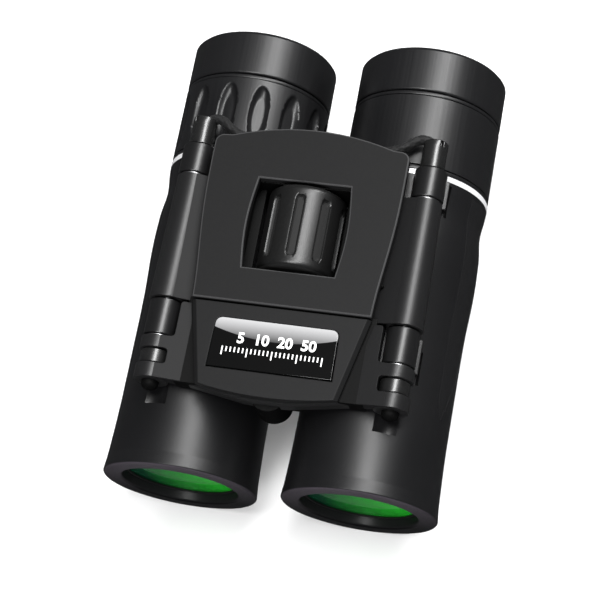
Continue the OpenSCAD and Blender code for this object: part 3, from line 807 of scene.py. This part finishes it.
# ---------------------------------------------------------------- covers
# Two flat grey covers screwed down from below. The upper one has the window for
# the focus wheel and a domed rear edge, and the lower one has chamfered sides.
cover_plastic = Finish("grey_cover_plastic", Specular_IOR_Level=0.12)
cover_grain = cover_plastic.noise(cover_plastic.place(), 3000.0, 3.0)
cover_shade = cover_plastic.mix(cover_grain, (0.007, 0.007, 0.0072, 1), (0.0105, 0.0105, 0.0107, 1))
cover_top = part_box("top_cover")[1].z
# Painted highlight: a light band on the upper cover's rounded top edges, 0.02 to 0.3 mm below its top.
below_top = cover_top / MM - cover_plastic.along(2)
painted_edge_highlight = below_top.above(0.02, 0.02) * (1.0 - below_top.above(0.3, 0.02))
cover_plastic.feed("Base Color", cover_plastic.mix(painted_edge_highlight * 0.8, cover_shade, (0.05, 0.05, 0.051, 1)))
cover_plastic.feed("Roughness", 0.42 + 0.08 * cover_grain)
cover_plastic.bump(cover_grain, 0.000015, 0.5)
cover_sides = (36.0, 72.4)
window = (44.0, 64.8)


def plate(outer, hole, top, thickness):
    """A flat plate from an outline and a hole, both of (x, station) points in millimetres."""
    bm = bmesh.new()
    for loop in (outer, hole):
        verts = [bm.verts.new((x * MM, at(s), top)) for x, s in loop]
        for a, b in zip(verts, verts[1:] + verts[:1]):
            bm.edges.new((a, b))
    bmesh.ops.triangle_fill(bm, use_beauty=True, use_dissolve=True, edges=list(bm.edges), normal=(0, 0, 1))
    return thickened(bm, (0, 0, -thickness * MM))


def rounded_edge(bm, width, segments, wanted):
    """Rounds the sharp edges that wanted() picks."""
    sharp = [edge for edge in bm.edges if len(edge.link_faces) == 2
             and edge.calc_face_angle() > math.radians(40) and wanted(edge)]
    bmesh.ops.bevel(bm, geom=sharp, offset=width * MM, offset_type="OFFSET", segments=segments,
                    profile=0.5, affect="EDGES", clamp_overlap=True, material=-1)


def on_top(height):
    return lambda edge: all(abs(vert.co.z - height) < 1e-6 for vert in edge.verts)


side_stations = [cover_sides[0] + (cover_sides[1] - cover_sides[0]) * step / 12 for step in range(13)]
corner = [math.radians(angle) for angle in range(9, 90, 9)]
corner_x = cover_half(cover_sides[1]) - 2
right_edge = [(cover_half(s), s) for s in side_stations]
right_edge += [(corner_x + 2 * math.cos(a), cover_sides[1] + 2 * math.sin(a)) for a in corner]
right_edge += [(x, 77.4 - 2.9 * (x / 18) ** 2) for x in (18, 15, 12, 9, 6, 3)]
outer = right_edge + [(0, 77.4)] + [(-x, s) for x, s in reversed(right_edge)]
bows = [(10.1 + 0.9 * math.sin(math.pi * step / 10), window[0] + (window[1] - window[0]) * step / 10)
        for step in range(11)]
hole = bows + [(-x, s) for x, s in reversed(bows)]
bm = plate(outer, hole, cover_top, 1.8)
rounded_edge(bm, 0.42, 3, on_top(cover_top))
cover = shown(bm, "upper_bridge_cover", cover_plastic.material, 50)
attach(cover, "bridge")
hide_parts("top_cover")

lower_top = cover_top - 0.4 * MM
foot = [(x, 15.7 + 1.5 * (x / 15.4) ** 2) for x in [15.4 * step / 7 for step in range(-7, 8)]]
badge_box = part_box("badge")
badge_front = (badge_box[0].y - front_face) / MM
badge_rear = (badge_box[1].y - front_face) / MM


def badge_outline(grow):
    """The badge's outline, with its two rear corners rounded."""
    turns = [math.radians(15 * step) for step in range(7)]
    round_by = 1.4 + grow
    left = [(-11.9 - round_by * math.sin(a), badge_rear - 1.4 + round_by * math.cos(a)) for a in turns]
    right = [(-x, s) for x, s in reversed(left)]
    return [(-13.5 - grow, badge_front - grow), (13.5 + grow, badge_front - grow)] + right + left


bm = plate(foot + [(19.5, 35.6), (-19.5, 35.6)], badge_outline(0.14), lower_top, 1.8)
rounded_edge(bm, 0.75, 1, lambda edge: on_top(lower_top)(edge)
             and all(abs(v.co.x) > 15 * MM for v in edge.verts)
             and abs(edge.verts[0].co.y - edge.verts[1].co.y) > 5 * MM)
rounded_edge(bm, 0.2, 2, on_top(lower_top))
cover = shown(bm, "lower_bridge_cover", cover_plastic.material, 25)
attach(cover, "bridge")
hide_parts("lower_cover")

# ---------------------------------------------------------------- badge
# A glossy black plate let into the lower cover, with a silver highlight painted along
# its rear edge. A plain distance scale stands on it in white.
badge_finish = Finish("gloss_badge_painted_highlight", Roughness=0.12, Coat_Weight=0.7, Coat_Roughness=0.04)
across = badge_finish.along(0)
depth = badge_box[1].y / MM - badge_finish.along(1)
# Painted highlight: a silver band behind a curved edge, brightest at the rear edge and fading forwards.
edge_depth = 4.3 - across * across * (2.1 / 13.5 ** 2)
inside_painted_highlight = (edge_depth - depth).above(0.0, 0.06)
brightness = 1.0 - depth * (1 / 4.7)
painted_highlight = badge_finish.mix(brightness, (0.015, 0.015, 0.015, 1), (0.38, 0.38, 0.385, 1))
badge_finish.feed("Base Color", badge_finish.mix(inside_painted_highlight, (0.002, 0.002, 0.002, 1), painted_highlight))
badge_top = cover_top - 0.2 * MM
bm = bmesh.new()
bm.faces.new([bm.verts.new((x * MM, at(s), badge_top)) for x, s in badge_outline(0)])
thickened(bm, (0, 0, -0.7 * MM))
rounded_edge(bm, 0.15, 3, on_top(badge_top))
badge = shown(bm, "gloss_badge", badge_finish.material, 50)
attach(badge, "bridge")
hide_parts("badge")

white_print = Finish("white_print", Roughness=0.4)
white_print.feed("Base Color", white_print.mix(white_print.noise(white_print.place(), 900.0),
                                               (0.78, 0.78, 0.78, 1), (0.86, 0.86, 0.86, 1)))
figures = (("5", -7.2), ("10", -2.7), ("20", 2.4), ("50", 7.5))
marks = bmesh.new()
for text, x in figures:
    letters = bpy.data.curves.new("figure", "FONT")
    letters.body = text
    letters.size = 3.3 * MM
    letters.offset = 0.09 * MM
    letters.extrude = 0.02 * MM
    letters.align_x = "CENTER"
    letters.resolution_u = 4
    holder = bpy.data.objects.new("figure", letters)
    bpy.context.scene.collection.objects.link(holder)
    outline = holder.to_mesh()
    outline.transform(Matrix.Translation((x * MM, at(badge_rear - 5.3), badge_top)))
    marks.from_mesh(outline)
    holder.to_mesh_clear()
    bpy.data.objects.remove(holder)
for step in range(25):
    tall = 1.9 if step % 6 == 0 else 1.1
    tick_x = -10.8 + 0.9 * step
    tick = block((tick_x - 0.14, badge_rear - 6.4 - tall, 0), (tick_x + 0.14, badge_rear - 6.4, 0.04))
    bmesh.ops.translate(tick, vec=(0, 0, badge_top - 0.02 * MM), verts=tick.verts)
    marks = joined(marks, tick)
scale_marks = shown(marks, "badge_scale_marks", white_print.material)
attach(scale_marks, "bridge")

# ---------------------------------------------------------------- strap caps
# Glossy caps on the rear ends of the axles. The cord is glued into a hole in the
# rear face, beside a small notch for a driver.
gloss = Finish("gloss_black", Roughness=0.27, Specular_IOR_Level=0.9)
gloss.feed("Base Color", gloss.mix(gloss.noise(gloss.place(), 900.0), (0.006, 0.006, 0.006, 1),
                                   (0.01, 0.01, 0.01, 1)))
cap_profile = [(72.8, 1.55), (72.8, 2.7), (77.9, 2.7), (79.3, 2.7), (79.3, 1.15), (76.2, 1.15), (76.2, 0),
               (76.0, 0), (76.0, 1.55)]
notch_turn = 52
for name, side in SIDES:
    cap = lathe(cap_profile, hinge_axis, 72)
    pit = [face for face in cap.faces if at(77.9) < face.calc_center_median().y < at(79.3)
           and abs(math.degrees(math.atan2(face.calc_center_median().z - hinge_axis.z,
                                           face.calc_center_median().x - hinge_axis.x)) - notch_turn) < 8
           and face.normal.y < 0.5 and (face.calc_center_median() - hinge_axis).xz.length > 2.2 * MM]
    bmesh.ops.inset_region(cap, faces=pit, thickness=0.03 * MM, depth=-0.9 * MM)
    soften(cap, 0.25, 50, 3)
    cap = shown(on_side(cap, side), name + "_strap_cap", gloss.material)
    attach(cap, "bridge")
    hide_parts("strap_caps")

# ---------------------------------------------------------------- axle nuts and feet
# A round black nut holds each axle in its window, and a domed screw closes its
# front end.
for name, side in SIDES:
    nut = lathe([(20.9, 1.5), (20.9, 3.3), (24.1, 3.3), (24.1, 1.5)], hinge_axis, 72)
    soften(nut, 0.3, 50, 3)
    nut = shown(on_side(nut, side), name + "_axle_nut", gloss.material)
    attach(nut, "bridge")
    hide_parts("axle_nuts")
    turns = [math.radians(15 * step) for step in range(7)]
    dome = [(16.9 - 1.5 * math.cos(a), 1.9 * math.sin(a)) for a in turns]
    foot_screw = lathe(dome + [(17.5, 1.9), (17.5, 0)], hinge_axis, 48)
    # The feet share the near-black core plastic, which is painted shade.
    foot_screw = shown(on_side(foot_screw, side), name + "_axle_foot", near_black_core_painted_shade.material)
    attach(foot_screw, "bridge")
    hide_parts("axle_screws")

# ---------------------------------------------------------------- focus wheel
# A moulded wheel with rounded ends and nine long finger recesses.
wheel_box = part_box("focus_wheel")
wheel_radius = (wheel_box[1].z - wheel_box[0].z) / 2
wheel_axis = Vector((0, 0, (wheel_box[1].z + wheel_box[0].z) / 2))
wheel_low = (wheel_box[0].y - front_face) / MM
wheel_high = (wheel_box[1].y - front_face) / MM
recesses = 9
wheel_finish = Finish("focus_wheel_plastic", Specular_IOR_Level=0.6)
wheel_grain = wheel_finish.noise(wheel_finish.place(), 2000.0, 3.0)
wheel_finish.feed("Base Color", wheel_finish.mix(wheel_grain, (0.004, 0.004, 0.004, 1),
                                                 (0.007, 0.007, 0.007, 1)))
wheel_across = wheel_finish.along(0)
wheel_up = wheel_finish.along(2) - wheel_axis.z / MM
sunk = 1.0 - (wheel_across * wheel_across + wheel_up * wheel_up).above((wheel_radius / MM - 0.35) ** 2, 2.0)
wheel_finish.feed("Roughness", 0.33 + 0.06 * wheel_grain + 0.4 * sunk)
wheel_finish.bump(wheel_grain, 0.00002, 0.5)
radius = wheel_radius / MM
edge_turns = [math.radians(15 * step) for step in range(7)]
front_round = [(wheel_low + 1.2 - 1.2 * math.cos(a), radius - 1.2 + 1.2 * math.sin(a)) for a in edge_turns]
rear_round = [(wheel_low + wheel_high - s, r) for s, r in reversed(front_round)]
rows = 40
sides_flat = [(front_round[-1][0] + (rear_round[0][0] - front_round[-1][0]) * row / rows, radius)
              for row in range(1, rows)]
bm = lathe([(wheel_low, 5.2)] + front_round + sides_flat + rear_round + [(wheel_high, 5.2)],
           wheel_axis, 32 * recesses)
wheel_middle = (wheel_low + wheel_high) / 2
for vert in bm.verts:
    out = Vector((vert.co.x, 0, vert.co.z)) - wheel_axis
    if out.length > wheel_radius - 0.2 * MM:
        pitch = math.tau / recesses
        turn = math.atan2(out.z, out.x) - math.pi / 2
        across = (turn - pitch * round(turn / pitch)) * radius
        along = max(abs((vert.co.y - at(wheel_middle)) / MM) - 6.0, 0)
        edge = 1.15 - math.hypot(across, along)
        vert.co -= out.normalized() * 0.8 * MM * min(max(edge / 0.35, 0), 1)
bmesh.ops.recalc_face_normals(bm, faces=bm.faces)
wheel = shown(bm, "ribbed_focus_wheel", wheel_finish.material, 50, flats=False)
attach(wheel, "focus_wheel_body")
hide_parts("focus_wheel")

# ---------------------------------------------------------------- inner works
# Steel axles, washers and screws, brass bushes and nut, black lens cells and the
# prisms keep their own shapes.
steel = Finish("plain_steel", Metallic=1.0, Roughness=0.35)
steel.feed("Base Color", steel.mix(steel.noise(steel.place(), 700.0), (0.45, 0.45, 0.46, 1),
                                   (0.6, 0.6, 0.61, 1)))
brass = Finish("turned_brass", Metallic=1.0, Roughness=0.35)
brass.feed("Base Color", brass.mix(brass.noise(brass.place(), 700.0), (0.55, 0.38, 0.16, 1),
                                   (0.7, 0.5, 0.24, 1)))
inner_glass = Finish("inner_glass", Roughness=0.03, Transmission_Weight=1.0)
inner_glass.feed("Base Color", inner_glass.mix(inner_glass.noise(inner_glass.place(), 50.0),
                                               (0.75, 0.82, 0.85, 1), (0.8, 0.86, 0.9, 1)))
carried_over = {
    steel: ("hinge_axles", "hinge_washers", "cover_screws", "focus_spindle"),
    brass: ("spindle_bushes", "yoke_nut"),
    near_black_core_painted_shade: ("focus_wheel_hub", "focus_yoke"),
    threaded: ("left_prism_holder", "right_prism_holder", "left_focus_cell", "right_focus_cell",
               "left_ocular_cell", "right_ocular_cell"),
    inner_glass: ("left_prism", "right_prism", "left_focus_lens", "right_focus_lens",
                  "left_ocular_lenses", "right_ocular_lenses"),
}
for finish, nodes in carried_over.items():
    for node in nodes:
        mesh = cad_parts[node].data
        mesh.materials.clear()
        mesh.materials.append(finish.material)
